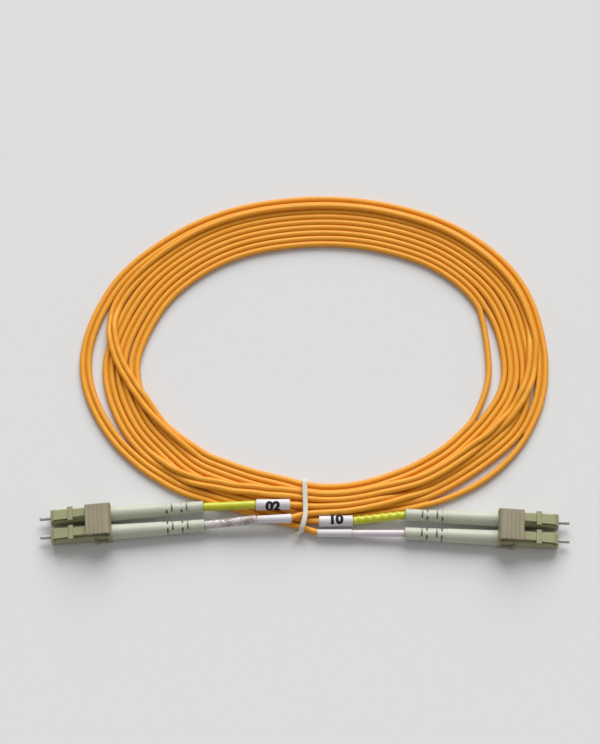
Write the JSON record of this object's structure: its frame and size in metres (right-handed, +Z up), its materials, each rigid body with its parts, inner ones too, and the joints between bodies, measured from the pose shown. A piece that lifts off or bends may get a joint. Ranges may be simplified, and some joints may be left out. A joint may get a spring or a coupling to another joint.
{
  "type": "fibre optic patch cord",
  "caption": "Coiled duplex fibre optic patch cord with latched plugs, ceramic ferrules, boots and release triggers.",
  "frame": {"origin": "on the surface that the cord lies on, midway between the two plug pairs, without the cord", "axes": "+X from the left plug pair to the right one; +Y from the plugs into the coil; +Z up"},
  "size_m": [0.1713, 0.1262, 0.009],
  "materials": {
    "plug_plastic": "smooth moulded plastic, beige",
    "clip_plastic": "smooth moulded plastic, brownish beige",
    "boot_rubber": "soft moulded elastomer, off white",
    "zirconia": "polished ceramic",
    "flange_metal": "turned metal",
    "spring_steel": "drawn wire",
    "crimp_metal": "nickel plated",
    "fibre_buffer": "smooth",
    "orange_jacket": "satin extruded jacket",
    "yellow_sleeve": "satin",
    "white_sleeve": "satin, slightly see-through",
    "white_label": "satin",
    "tie_plastic": "plastic coated wire tie"
  },
  "bodies": {
    "patch_cord": {"housing_left_a": "plug_plastic", "housing_left_b": "plug_plastic", "housing_right_a": "plug_plastic", "housing_right_b": "plug_plastic", "ferrule_spring_left_a": "spring_steel", "ferrule_spring_left_b": "spring_steel", "ferrule_spring_right_a": "spring_steel", "ferrule_spring_right_b": "spring_steel", "rear_body_left_a": "plug_plastic", "rear_body_left_b": "plug_plastic", "rear_body_right_a": "plug_plastic", "rear_body_right_b": "plug_plastic", "crimp_sleeve_left_a": "crimp_metal", "crimp_sleeve_left_b": "crimp_metal", "crimp_sleeve_right_a": "crimp_metal", "crimp_sleeve_right_b": "crimp_metal", "boot_left_a": "boot_rubber", "boot_left_b": "boot_rubber", "boot_right_a": "boot_rubber", "boot_right_b": "boot_rubber", "sleeve_left_a": "yellow_sleeve", "sleeve_left_b": "white_sleeve", "sleeve_right_a": "yellow_sleeve", "sleeve_right_b": "white_sleeve", "label_left_a": "white_label", "label_left_b": "white_label", "label_right_a": "white_label", "label_right_b": "white_label", "leg_left_a": "orange_jacket", "leg_left_b": "orange_jacket", "leg_right_a": "orange_jacket", "leg_right_b": "orange_jacket", "duplex_clip_left": "clip_plastic", "duplex_clip_right": "clip_plastic", "cord_coil": "orange_jacket", "cord_tie": "tie_plastic"},
    "latch_arm_left_a": {"latch_left_a": "plug_plastic"},
    "ferrule_unit_left_a": {"ferrule_left_a": "zirconia", "ferrule_flange_left_a": "flange_metal", "buffered_fibre_left_a": "fibre_buffer"},
    "latch_arm_left_b": {"latch_left_b": "plug_plastic"},
    "ferrule_unit_left_b": {"ferrule_left_b": "zirconia", "ferrule_flange_left_b": "flange_metal", "buffered_fibre_left_b": "fibre_buffer"},
    "latch_arm_right_a": {"latch_right_a": "plug_plastic"},
    "ferrule_unit_right_a": {"ferrule_right_a": "zirconia", "ferrule_flange_right_a": "flange_metal", "buffered_fibre_right_a": "fibre_buffer"},
    "latch_arm_right_b": {"latch_right_b": "plug_plastic"},
    "ferrule_unit_right_b": {"ferrule_right_b": "zirconia", "ferrule_flange_right_b": "flange_metal", "buffered_fibre_right_b": "fibre_buffer"},
    "trigger_arm_left": {"trigger_left": "clip_plastic"},
    "trigger_arm_right": {"trigger_right": "clip_plastic"}
  },
  "joints": [
    {"name": "trigger_left_press", "type": "hinge", "parent": "patch_cord", "child": "trigger_arm_left", "pos_m": [-0.06306, 0.00027, 0.00616], "axis": [0.0785, -0.9969, 0], "range_deg": [0, 14], "stiffness_Nm_per_rad": 0.13},
    {"name": "latch_left_a_press", "type": "hinge", "parent": "patch_cord", "child": "latch_arm_left_a", "pos_m": [-0.08065, 0.00202, 0.00508], "axis": [-0.0785, 0.9969, 0], "range_deg": [0, 8]},
    {"name": "ferrule_left_a_retract", "type": "slide", "parent": "patch_cord", "child": "ferrule_unit_left_a", "axis": [0.9969, 0.0785, 0], "range_m": [0, 0.0015], "stiffness_N_per_m": 2000, "springref_m": -0.0025, "deforming": ["ferrule_spring_left_a"]},
    {"name": "latch_left_b_press", "type": "hinge", "parent": "patch_cord", "child": "latch_arm_left_b", "pos_m": [-0.08016, -0.00421, 0.00508], "axis": [-0.0785, 0.9969, 0], "range_deg": [0, 8]},
    {"name": "ferrule_left_b_retract", "type": "slide", "parent": "patch_cord", "child": "ferrule_unit_left_b", "axis": [0.9969, 0.0785, 0], "range_m": [0, 0.0015], "stiffness_N_per_m": 2000, "springref_m": -0.0025, "deforming": ["ferrule_spring_left_b"]},
    {"name": "trigger_right_press", "type": "hinge", "parent": "patch_cord", "child": "trigger_arm_right", "pos_m": [0.06303, -0.00162, 0.00616], "axis": [0.0523, 0.9986, 0], "range_deg": [0, 14], "stiffness_Nm_per_rad": 0.13},
    {"name": "latch_right_a_press", "type": "hinge", "parent": "patch_cord", "child": "latch_arm_right_a", "pos_m": [0.08057, 0.00059, 0.00508], "axis": [-0.0523, -0.9986, 0], "range_deg": [0, 8]},
    {"name": "ferrule_right_a_retract", "type": "slide", "parent": "patch_cord", "child": "ferrule_unit_right_a", "axis": [-0.9986, 0.0523, 0], "range_m": [0, 0.0015], "stiffness_N_per_m": 2000, "springref_m": -0.0025, "deforming": ["ferrule_spring_right_a"]},
    {"name": "latch_right_b_press", "type": "hinge", "parent": "patch_cord", "child": "latch_arm_right_b", "pos_m": [0.08024, -0.00565, 0.00508], "axis": [-0.0523, -0.9986, 0], "range_deg": [0, 8]},
    {"name": "ferrule_right_b_retract", "type": "slide", "parent": "patch_cord", "child": "ferrule_unit_right_b", "axis": [-0.9986, 0.0523, 0], "range_m": [0, 0.0015], "stiffness_N_per_m": 2000, "springref_m": -0.0025, "deforming": ["ferrule_spring_right_b"]}
  ],
  "couplings": [
    {"joint": "latch_left_a_press", "follows": "trigger_left_press", "ratio": 0.56},
    {"joint": "latch_left_b_press", "follows": "trigger_left_press", "ratio": 0.56},
    {"joint": "latch_right_a_press", "follows": "trigger_right_press", "ratio": 0.56},
    {"joint": "latch_right_b_press", "follows": "trigger_right_press", "ratio": 0.56}
  ]
}
